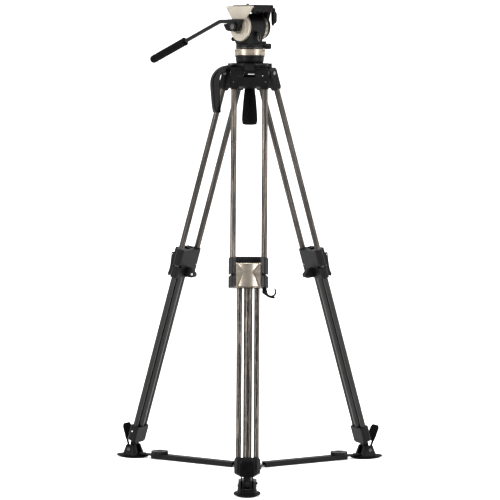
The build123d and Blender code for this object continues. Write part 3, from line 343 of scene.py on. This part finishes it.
# One carbon for all legs, toned per leg: the front leg's tubes much lighter and the back legs' tubes darker, painted
# light on the front leg and painted shade on the back legs.
UPPER = {n: carbon(f"upper_carbon_{n}", az, *tones) for (n, az), tones in zip(LEGS.items(), (
    ((0.010, 0.0086, 0.0075), (0.062, 0.053, 0.046), (0.24, 0.205, 0.175), 0.004),
    ((0.006, 0.0053, 0.0048), (0.028, 0.024, 0.0205), (0.105, 0.089, 0.075), 0.003),
    ((0.006, 0.0053, 0.0048), (0.031, 0.0265, 0.0225), (0.12, 0.101, 0.085), 0.003)))}
LOWER = {n: carbon(f"lower_carbon_{n}", az, *tones) for (n, az), tones in zip(LEGS.items(), (
    ((0.008, 0.007, 0.006), (0.05, 0.043, 0.037), (0.19, 0.162, 0.136), 0.02),
    ((0.0025, 0.0024, 0.0023), (0.005, 0.0047, 0.0044), (0.015, 0.0135, 0.0122), 0.01),
    ((0.0025, 0.0024, 0.0023), (0.0055, 0.005, 0.0047), (0.018, 0.016, 0.0142), 0.01)))}

FINISH = {"crown": CROWN, "leg_pins": STEEL, "carry_handle": SATIN, "half_ball": BLACK, "clamp_cup": BLACK,
          "tie_handle": RUBBER, "pan_ring": RING, "pan_housing": BLACK, "pan_lock": PLASTIC, "tilt_lock": DARK_STEEL,
          "tilt_plate": PLATE, "tilt_ring": TILT_RING, "far_cheek": BLACK, "platform": BLACK, "camera_plate": BLACK,
          "plate_lever": PLASTIC, "release_button": RED, "counterbalance_dial": PLASTIC, "handle_clamp": PLASTIC,
          "handle_knob": KNOB, "pan_handle": TUBE, "handle_grip": RUBBER, "hub": PLASTIC, "cable_hook": PLASTIC}
for leg in LEGS:
    FINISH.update({f"yoke_{leg}": CROWN, f"upper_tubes_{leg}": UPPER[leg], f"lower_tubes_{leg}": LOWER[leg],
                   # Front collar in the lighter copy, back collars and back levers in the darker copy: painted light
                   # and shade.
                   f"collar_{leg}": HOUSING if leg == "front" else COLLAR_SHADED,
                   f"collar_lever_{leg}": LEVER if leg == "front" else COLLAR_SHADED,
                   # Front boot in the lighter copy of the black coat: painted light.
                   f"boot_{leg}": FRONT_BOOT_LIT if leg == "front" else BLACK, f"foot_{leg}": PLASTIC,
                   f"pad_{leg}": PAD, f"foot_lever_{leg}": RUBBER,
                   f"arm_{leg}": ARM, f"arm_knob_{leg}": KNOB, f"tongue_{leg}": DARK_STEEL})
for node, finish in FINISH.items():
    mesh = bpy.data.objects[node].data
    mesh.materials.clear()
    mesh.materials.append(finish)

# ---- camera, floor and light -------------------------------------------------------------------------------
lens = bpy.data.cameras.new("view")
lens.lens = 170.09
lens.sensor_width = 36.0
lens.clip_end = 60.0
camera = bpy.data.objects.new("view", lens)
bpy.context.collection.objects.link(camera)
bpy.context.scene.camera = camera
aim, pitch, roll = radians(0.592), radians(-4.904), radians(0.165)
toward = Vector((-sin(aim) * cos(pitch), cos(aim) * cos(pitch), sin(pitch)))
right = Vector((cos(aim), sin(aim), 0))
camera.matrix_world = place((0.0890, -8.3725, 1.5055), right, right.cross(toward)) @ Matrix.Rotation(roll, 4, "Z")

floor = bpy.data.meshes.new("floor")
floor.from_pydata([(-30, -30, 0), (30, -30, 0), (30, 30, 0), (-30, 30, 0)], [], [(0, 1, 2, 3)])
floor.materials.append(floor_finish())
ground = bpy.data.objects.new("floor", floor)
bpy.context.collection.objects.link(ground)

world = bpy.data.worlds.new("studio")
bpy.context.scene.world = world
world.use_nodes = True
nodes, links = world.node_tree.nodes, world.node_tree.links
nodes["Background"].inputs[0].default_value = (1, 1, 1, 1)
# The sky is white, and falls off smoothly toward the front of the studio.
DARK_SIDE = (0, -0.9, -0.44)
FALL_OFF = {"From Min": -0.35, "From Max": 0.55, "To Min": 1.06, "To Max": 0.12}
heading, facing = nodes.new("ShaderNodeTexCoord"), nodes.new("ShaderNodeVectorMath")
level = nodes.new("ShaderNodeMapRange")
facing.operation = "DOT_PRODUCT"
facing.inputs[1].default_value = DARK_SIDE
level.interpolation_type = "SMOOTHSTEP"
for key, value in FALL_OFF.items():
    level.inputs[key].default_value = value
links.new(heading.outputs["Generated"], facing.inputs[0])
links.new(facing.outputs["Value"], level.inputs[0])
links.new(level.outputs[0], nodes["Background"].inputs[1])


def softbox(name, at, target, width, height, power):
    data = bpy.data.lights.new(name, "AREA")
    data.shape = "RECTANGLE"
    data.size, data.size_y, data.energy = width, height, power
    lamp = bpy.data.objects.new(name, data)
    lamp.location = at
    lamp.rotation_euler = (Vector(target) - Vector(at)).to_track_quat("-Z", "Y").to_euler()
    bpy.context.collection.objects.link(lamp)


softbox("left_strip", (-3.2, -3.0, 2.0), (0, 0, 1.0), 0.8, 2.6, 75)
softbox("right_strip", (3.4, -2.2, 1.8), (0, 0, 1.0), 0.5, 2.4, 45)
softbox("top_box", (0.3, -1.0, 3.6), (0, 0, 1.3), 1.6, 1.6, 55)
bpy.context.scene.view_settings.view_transform = "Standard"
bpy.context.scene.view_settings.look = "High Contrast"


# ---- making pieces -----------------------------------------------------------------------------------------
def piece(name, bm, finish, body, at=None, smooth=35.0):
    """A finished piece at the origin, its place in its mesh, riding on a body."""
    if at is not None:
        bm.transform(at)
    bmesh.ops.remove_doubles(bm, verts=bm.verts, dist=1e-6)
    bmesh.ops.recalc_face_normals(bm, faces=bm.faces)
    mesh = bpy.data.meshes.new(name)
    bm.to_mesh(mesh)
    bm.free()
    for face in mesh.polygons:
        face.use_smooth = True
    mesh.set_sharp_from_angle(angle=radians(smooth))
    mesh.materials.append(finish)
    made = bpy.data.objects.new(name, mesh)
    bpy.context.collection.objects.link(made)
    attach(made, body)
    return made


def lathe(profile, sides=64):
    """Mesh turned about Z from (radius, height) pairs in millimetres; it closes at the axis or on itself."""
    bm = bmesh.new()
    rings = []
    for r, z in profile:
        if r < 1e-6:
            rings.append([bm.verts.new((0, 0, z * MM))] * sides)
        else:
            rings.append([bm.verts.new((r * MM * cos(2 * pi * k / sides), r * MM * sin(2 * pi * k / sides), z * MM))
                          for k in range(sides)])
    closed = profile[0][0] > 1e-6 and profile[-1][0] > 1e-6
    pairs = list(zip(rings, rings[1:])) + ([(rings[-1], rings[0])] if closed else [])
    for low, high in pairs:
        for k in range(sides):
            n = (k + 1) % sides
            corners = list(dict.fromkeys((low[k], low[n], high[n], high[k])))
            if len(corners) > 2:
                bm.faces.new(corners)
    return bm


def slab(outline, thickness, bevel=0.0):
    """Mesh of a flat outline in millimetres, thickened along +Z, with its edges eased."""
    bm = bmesh.new()
    low = [bm.verts.new((x * MM, y * MM, 0)) for x, y in outline]
    bm.faces.new(low)
    made = bmesh.ops.extrude_face_region(bm, geom=bm.faces[:])
    for v in made["geom"]:
        if isinstance(v, bmesh.types.BMVert):
            v.co.z += thickness * MM
    bmesh.ops.recalc_face_normals(bm, faces=bm.faces)
    if bevel:
        bmesh.ops.bevel(bm, geom=bm.edges[:], offset=bevel * MM, segments=2, profile=0.6, affect="EDGES",
                        clamp_overlap=True)
    return bm


def scatter(name, unit, places, finish, body):
    """One mesh of a small unit repeated at many places by Geometry Nodes."""
    points = bpy.data.meshes.new(name)
    points.from_pydata([m.translation for m in places], [], [])
    turn = points.attributes.new("turn", "FLOAT_VECTOR", "POINT")
    for k, m in enumerate(places):
        turn.data[k].vector = m.to_euler("XYZ")
    holder = bpy.data.objects.new(name, points)
    bpy.context.collection.objects.link(holder)
    seed = bpy.data.meshes.new(name + "_unit")
    unit.to_mesh(seed)
    unit.free()
    for face in seed.polygons:
        face.use_smooth = True
    seed.set_sharp_from_angle(angle=radians(35))
    model = bpy.data.objects.new(name + "_unit", seed)
    bpy.context.collection.objects.link(model)
    tree = bpy.data.node_groups.new(name + "_repeat", "GeometryNodeTree")
    tree.interface.new_socket("Geometry", in_out="INPUT", socket_type="NodeSocketGeometry")
    tree.interface.new_socket("Unit", in_out="INPUT", socket_type="NodeSocketObject")
    tree.interface.new_socket("Finish", in_out="INPUT", socket_type="NodeSocketMaterial")
    tree.interface.new_socket("Geometry", in_out="OUTPUT", socket_type="NodeSocketGeometry")
    new = tree.nodes.new
    start, end = new("NodeGroupInput"), new("NodeGroupOutput")
    info, rows = new("GeometryNodeObjectInfo"), new("GeometryNodeInstanceOnPoints")
    spin, real = new("GeometryNodeInputNamedAttribute"), new("GeometryNodeRealizeInstances")
    paint = new("GeometryNodeSetMaterial")
    spin.data_type = "FLOAT_VECTOR"
    spin.inputs["Name"].default_value = "turn"
    to_turn = new("FunctionNodeEulerToRotation")
    link = tree.links.new
    link(start.outputs["Geometry"], rows.inputs["Points"])
    link(start.outputs["Unit"], info.inputs["Object"])
    link(info.outputs["Geometry"], rows.inputs["Instance"])
    link(spin.outputs["Attribute"], to_turn.inputs["Euler"])
    link(to_turn.outputs["Rotation"], rows.inputs["Rotation"])
    link(rows.outputs["Instances"], real.inputs["Geometry"])
    link(real.outputs["Geometry"], paint.inputs["Geometry"])
    link(start.outputs["Finish"], paint.inputs["Material"])
    link(paint.outputs["Geometry"], end.inputs["Geometry"])
    modifier = holder.modifiers.new("repeat", "NODES")
    modifier.node_group = tree
    sockets = {s.name: s.identifier for s in tree.interface.items_tree if s.in_out == "INPUT"}
    modifier[sockets["Unit"]] = model
    modifier[sockets["Finish"]] = finish
    graph = bpy.context.evaluated_depsgraph_get()
    mesh = bpy.data.meshes.new_from_object(holder.evaluated_get(graph))
    holder.modifiers.clear()
    holder.data = mesh
    if not mesh.materials:
        mesh.materials.append(finish)
    bpy.data.objects.remove(model)
    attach(holder, body)
    return holder


def socket_screw(radius, height, sides=24):
    """Cap screw head: an eased cylinder with a hexagonal socket."""
    bm = bmesh.new()

    def hexagon(k):
        a = 2 * pi * k / sides
        return radius * 0.5 * cos(pi / 6) / cos((a % (pi / 3)) - pi / 6)

    rows = [(lambda k: radius, 0.0), (lambda k: radius, height * 0.8), (lambda k: radius * 0.9, height),
            (hexagon, height), (hexagon, height * 0.45)]
    rings = [[bm.verts.new((f(k) * MM * cos(2 * pi * k / sides), f(k) * MM * sin(2 * pi * k / sides), z * MM))
              for k in range(sides)] for f, z in rows]
    for low, high in zip(rings, rings[1:]):
        for k in range(sides):
            bm.faces.new((low[k], low[(k + 1) % sides], high[(k + 1) % sides], high[k]))
    bm.faces.new(rings[-1])
    bm.faces.new(rings[0][::-1])
    return bm


def around(centre, axis, radius, count, start=0.0):
    """Places round an axis, their +X outward and +Z along the axis."""
    axis = Vector(axis).normalized()
    side = axis.orthogonal().normalized()
    other = axis.cross(side)
    found = []
    for k in range(count):
        a = start + 2 * pi * k / count
        out = side * cos(a) + other * sin(a)
        found.append(place(Vector(centre) + out * radius * MM, out, axis.cross(out)))
    return found


def block(x, y, z, bevel):
    """Eased block about the origin, in millimetres."""
    bm = slab(((-x / 2, -y / 2), (x / 2, -y / 2), (x / 2, y / 2), (-x / 2, y / 2)), z, bevel)
    bm.transform(Matrix.Translation((0, 0, -z * MM / 2)))
    return bm


# ---- head pieces -------------------------------------------------------------------------------------------
scatter("pan_ring_ticks", block(0.5, 1.3, 6.0, 0.15), around((0, 0, 1.4815), UP, 53.9, 24), DARK_STEEL, "pan_ring")
scatter("pan_ring_ribs", block(0.8, 2.2, 8.0, 0.3), around((0, 0, 1.4932), UP, 53.9, 90), RING, "pan_ring")
scatter("tilt_ring_ticks", block(0.5, 5.2, 7.0, 0.2), around(head_at(0, 38.6, 0), LEFTWARD, 48.1, 18), DARK_STEEL,
        "tilt_ring")
scatter("rosette_teeth", block(6.0, 1.3, 1.4, 0.3), around(head_at(0, -56.2, 0), -LEFTWARD, 22.0, 44), DARK_STEEL,
        "tilt")
piece("base_groove_ring",
      lathe(((49.15, -1.0), (49.6, -0.6), (49.6, 0.6), (49.15, 1.0), (48.8, 0.6), (48.8, -0.6)), 96), DARK_STEEL,
      "pan", Matrix.Translation((0, 0, 1.5035)))
piece("disc_cap_ring", lathe(((33.0, 0), (33.0, 0.5), (34.2, 0.9), (35.4, 0.5), (35.4, 0)), 96), PLATE, "tilt",
      on_side(0, 49.4, 0))
scatter("side_plate_screws", socket_screw(2.6, 1.6), [on_side(x, 51.4, u) for x, u in ((-56, 66), (56, 66))], STEEL,
        "tilt")
scatter("cheek_screws", socket_screw(3.2, 2.0), around(head_at(0, 60.0, 0), LEFTWARD, 33.0, 6, 0.26), DARK_STEEL,
        "tilt")
piece("cheek_cap", lathe(((0, 2.0), (12.5, 2.0), (13.5, 1.2), (13.8, 0), (0, 0))), KNOB, "tilt",
      place(head_at(0, 65.0, 0), -AHEAD, UP))
piece("plate_edge_strip", block(110.0, 0.8, 1.1, 0.2), STEEL, "camera_plate",
      place(head_at(10, -41.2, 74.5), AHEAD, LEFTWARD))
scatter("plate_pads", block(104.0, 6.5, 0.8, 0.3),
        [place(head_at(10, y, 76.2), AHEAD, LEFTWARD) for y in (-33, -22, -11, 11, 22, 33, 44)], RUBBER,
        "camera_plate")
piece("camera_screw_collar", lathe(((4.9, 0), (8.5, 0), (8.5, 0.6), (8.0, 1.0), (4.9, 1.0))), STEEL, "camera_plate",
      Matrix.Translation(head_at(-12, 0, 76.0)))
scatter("camera_screw_threads", lathe(((4.6, -0.35), (5.15, 0), (4.6, 0.35), (4.2, 0)), 40),
        [Matrix.Translation(head_at(-12, 0, 77.4 + 0.9 * k)) for k in range(5)], STEEL, "camera_plate")
piece("plate_lever_rim", slab(((45.2, 46), (47.6, 49), (58.4, 49), (60.8, 46), (60.8, 20), (58.4, 17), (47.6, 17),
                               (45.2, 20)), 1.4, 0.5), DARK_STEEL, "plate_lever",
      place(head_at(0, 72.0, 0), AHEAD, UP) @ Matrix.Diagonal((1, 1, -1, 1)))
piece("plate_lever_screw", socket_screw(4.0, 2.2), STEEL, "plate_lever",
      place(head_at(52, 66.9, 59), -AHEAD, UP))
scatter("clamp_ribs", block(1.5, 17.0, 1.4, 0.5),
        [on_side(-14 + 4.0 * k, 75.3, 8.5 - 0.4 * abs(k - 4)) for k in range(8)], KNOB, "handle")
piece("jaw_plate", slab(((-60.5, 8.2), (-31, 11), (-19, -2), (-16, -9), (-30, -14.6), (-46.3, -11.8)), 0.9, 0.4),
      SATIN, "handle", on_side(0, 71.2, 0))
scatter("handle_knob_ribs", block(1.6, 2.0, 6.5, 0.6), around(head_at(0, -79.7, 0), -LEFTWARD, 14.4, 20), KNOB,
        "handle_knob")
piece("handle_knob_cap", lathe(((0, 1.0), (8.5, 1.0), (9.4, 0.5), (9.6, 0), (0, 0))), DARK_STEEL, "handle_knob",
      on_side(0, 83.9, 0))
piece("pan_lock_cap", lathe(((0, 0.9), (5.6, 0.9), (6.4, 0.4), (6.6, 0), (0, 0))), DARK_STEEL, "pan_lock",
      place((0.0749, 0, 1.50915), (0, 1, 0), (0, 0, 1)))
scatter("pan_lock_ribs", block(1.0, 1.6, 17.0, 0.4), around((0.063, 0, 1.50915), (1, 0, 0), 9.4, 16), PLASTIC,
        "pan_lock")
piece("tilt_lock_cap", lathe(((0, 1.6), (5.0, 1.6), (6.2, 1.0), (6.6, 0), (0, 0))), KNOB, "tilt_lock",
      place(head_at(55.4, -6, -26), LEFTWARD, UP))
scatter("dial_ribs", block(0.9, 1.3, 6.0, 0.3), around(head_at(-62.5, -22, -43), -AHEAD, 7.5, 18), PLASTIC,
        "counterbalance")
piece("dial_cap", lathe(((0, 0.7), (3.4, 0.7), (4.0, 0.3), (4.1, 0), (0, 0))), STEEL, "counterbalance",
      place(head_at(-66.4, -22, -43), -LEFTWARD, UP))

# ---- pan handle's grip ---------------------------------------------------------------------------------------
DIP = radians(20.1)
BACK = -AHEAD * cos(DIP) - UP * sin(DIP)
BEND = head_at(-85, -66, 18.5)


def on_handle(distance):
    """Matrix on the handle's sloping run, +Z toward the hand."""
    return place(BEND + BACK * distance * MM, -LEFTWARD, BACK.cross(-LEFTWARD))


piece("grip_collar",
      lathe(((7.1, 0), (10.5, 0), (13.6, 2.2), (15.2, 4.2), (15.2, 6.4), (14.0, 8.0), (7.1, 8.0))), RUBBER, "handle",
      on_handle(201))
scatter("grip_flutes", block(1.1, 2.6, 150.0, 0.5),
        [m for m in (on_handle(292) @ Matrix.Rotation(2 * pi * k / 14, 4, "Z") @ Matrix.Translation((0.0138, 0, 0))
                     for k in range(14))], RUBBER, "handle")
piece("grip_end_band", lathe(((14.0, 0), (14.8, 0.8), (14.8, 3.2), (14.0, 4.0), (13.0, 2.0))), RUBBER, "handle",
      on_handle(378))

# ---- bowl, tie-down and carry handle ---------------------------------------------------------------------------
TIE = ((14.5, 1383), (16.5, 1372), (16.5, 1362), (21.5, 1318), (25.5, 1268), (26.3, 1250), (25.4, 1237))


def tie_rib(width, proud):
    """A rib that follows the tie-down handle's flared side."""
    bm = bmesh.new()
    rows = []
    for k, (r, z) in enumerate(TIE):
        out = proud * (0.15 if k in (0, len(TIE) - 1) else 1.0)
        w = width * (0.5 + 0.5 * r / 26.0)
        rows.append([bm.verts.new(((r + d) * MM, s * w / 2 * MM, z * MM))
                     for d, s in ((-1.0, -1), (out, -0.55), (out, 0.55), (-1.0, 1))])
    for low, high in zip(rows, rows[1:]):
        for k in range(4):
            bm.faces.new((low[k], low[(k + 1) % 4], high[(k + 1) % 4], high[k]))
    bm.faces.new(rows[0])
    bm.faces.new(rows[-1][::-1])
    bmesh.ops.recalc_face_normals(bm, faces=bm.faces)
    return bm


scatter("tie_handle_ribs", tie_rib(4.4, 1.1), [Matrix.Rotation(2 * pi * k / 14, 4, "Z") for k in range(14)], RUBBER,
        "tie_down")
piece("tie_handle_cap", lathe(((0, -1.2), (16.0, -1.2), (18.0, -0.6), (18.6, 0), (0, 0))), KNOB, "tie_down",
      Matrix.Translation((0, 0, 1.2335)))
piece("bowl_rim_line", lathe(((66.05, -0.6), (66.45, 0), (66.05, 0.6), (65.6, 0)), 128), DARK_STEEL, "crown",
      Matrix.Translation((0, 0, 1.4462)))
for name, azimuth in LEGS.items():
    across, inward, up, pivot = leg_axes(azimuth)
    out = Vector((cos(radians(azimuth)), sin(radians(azimuth)), 0))
    # The strip is bright steel on the front lug and dark steel on the back lugs: painted light at the front and
    # painted shade at the back.
    piece(f"lug_strip_{name}", block(22.5, 4.4, 0.8, 0.3), STEEL if name == "front" else DARK_STEEL, "crown",
          place(out * 0.0791 + across * 0.006 + UP * 1.4122, across, UP))
    piece(f"lug_cap_{name}", slab(((-17.5, -10), (17.5, -10), (17.5, 8), (12, 11), (-12, 11), (-17.5, 8)), 1.2, 0.5),
          KNOB, "crown", place(out * 0.0786 + UP * 1.4355, across, UP))
    leg, lower, foot = f"leg_{name}", f"lower_{name}", f"foot_{name}"

    def face(x, y, z):
        return place(pivot + (across * x + inward * y + up * z) * MM, across, up)

    scatter(f"pin_nuts_{name}", socket_screw(7.0, 2.4),
            [place(pivot + across * s * 66.4 * MM, up.cross(across * s), up)
             for s in (-1, 1)], DARK_STEEL, "crown")
    # Dark strips laid along the yoke's slot: painted shade in the slot.
    for s in (-1, 1):
        piece(f"yoke_shelf_{name}_{'ab'[s > 0]}", block(24.0, 3.0, 1.5, 0.4), PLASTIC, leg,
              face(s * 33.5, -13.2, -14.6))
    # A small bright steel block at the slot's end, put there as a painted glint.
    piece(f"yoke_catch_{name}", block(3.2, 4.4, 2.4, 0.6), STEEL, leg, face(46.2, -13.4, -14.4))
    scatter(f"yoke_screws_{name}", socket_screw(3.0, 1.4), [face(s * 56.5, -13.9, -36) for s in (-1, 1)], DARK_STEEL,
            leg)
    scatter(f"tube_bushes_{name}", lathe(((10.25, 0), (12.6, 0), (12.6, 1.6), (11.4, 3.0), (10.25, 3.0)), 48),
            [place(pivot + (across * s * 54.2 + up * -664.2) * MM, across, inward) for s in (-1, 1)], PLASTIC, leg)
    piece(f"collar_brow_{name}",
          slab(((-34, -664.2), (34, -664.2), (42.2, -674), (42.2, -681), (30, -686.0), (12, -688.6), (-12, -688.6),
                (-30, -686.0), (-42.2, -681), (-42.2, -674)), 1.5, 0.5), KNOB, leg,
          face(0, -30.6, 0))
    scatter(f"collar_pins_{name}", lathe(((0, 1.6), (1.3, 1.4), (2.0, 0.8), (2.2, 0), (0, 0)), 20),
            [face(s * 61.5, -12.0, -723.5) for s in (-1, 1)], STEEL, leg)
    scatter(f"pin_ends_{name}", lathe(((0, 0.8), (1.9, 0.8), (2.4, 0.3), (2.4, 0), (0, 0)), 20),
            [place(pivot + (across * s * 45.3 + inward * -36.2 + up * -691) * MM, inward * s, up)
             for s in (-1, 1)], STEEL, leg)
    piece(f"ear_screw_{name}", socket_screw(4.6, 2.4), STEEL, leg,
          place(pivot + (across * 9 + inward * 44 + up * -745) * MM, inward, up))
    scatter(f"boot_ribs_{name}", block(3.2, 30.0, 1.6, 0.6),
            [face(x, -13.1 - 17.3, -1384) for x in (-30, -20, 20, 30)], BLACK, lower)
    piece(f"boot_screw_{name}", socket_screw(3.2, 1.8), STEEL, lower,
          place(pivot + (across * 43.6 + inward * -13.1 + up * -1376) * MM, inward, up))
    scatter(f"lower_bushes_{name}", lathe(((9.3, 0), (11.2, 0), (11.2, 1.4), (10.2, 2.4), (9.3, 2.4)), 40),
            [place(pivot + (across * x + inward * -13.1 + up * -1356.8) * MM, across, inward)
             for x in (-30, 30)], PLASTIC, lower)
    ankle = out * 0.49466 + UP * 0.03112
    scatter(f"ankle_bolts_{name}", socket_screw(6.5, 2.6),
            [place(ankle + across * s * 30.0 * MM, UP.cross(across * s), UP) for s in (-1, 1)], DARK_STEEL, foot)
    scatter(f"ankle_teeth_{name}", block(1.4, 2.4, 5.0, 0.5),
            [m for s in (-1, 1) for m in around(ankle + across * s * 27 * MM, across, 12.0, 14)], PLASTIC, foot)
    scatter(f"foot_ribs_{name}", block(2.4, 12.0, 1.2, 0.4),
            [place(out * 0.5223 + across * x * MM + UP * 0.0200, across, (UP * 0.96 - out * 0.3).normalized())
             for x in (-18, -9, 0, 9, 18)], PLASTIC, foot)
    piece(f"foot_stop_{name}",
          lathe(((0, 7.5), (2.8, 7.5), (3.9, 6.6), (3.9, 3.4), (2.2, 2.6), (2.2, 0), (0, 0)), 24), KNOB, foot,
          place(out * 0.502 + across * 0.0285 + UP * 0.041, UP, out))
    scatter(f"knob_cap_{name}", lathe(((0, 1.4), (10.5, 1.4), (12.5, 0.8), (13.0, 0), (0, 0)), 40),
            [place(out * 0.379 + UP * 0.0308, out, across)], PLASTIC, f"arm_knob_{name}")
    lean = radians({"front": 18.0, "left": 16.0, "right": 24.0}[name])
    blade_up = UP * cos(lean) + out * sin(lean)
    blade_out = out * cos(lean) - UP * sin(lean)
    scatter(f"lever_ribs_{name}", block(34.0, 2.0, 1.5, 0.6),
            [place(ankle + (blade_out * 7.7 + blade_up * (66 + 5.5 * k)) * MM, -across, blade_up) for k in range(5)],
            RUBBER, f"foot_lever_{name}")
    scatter(f"lever_rivets_{name}", lathe(((0, 1.3), (2.4, 1.0), (3.4, 0), (0, 0)), 24),
            [place(ankle + (blade_out * 7.4 + blade_up * 47 - across * s * 15) * MM, -across, blade_up)
             for s in (-1, 1)], STEEL, f"foot_lever_{name}")
    piece(f"bar_button_{name}", lathe(((0, 1.0), (3.4, 0.8), (4.4, 0), (0, 0)), 32), STEEL, foot,
          Matrix.Translation(out * 0.4445 + UP * 0.0194))
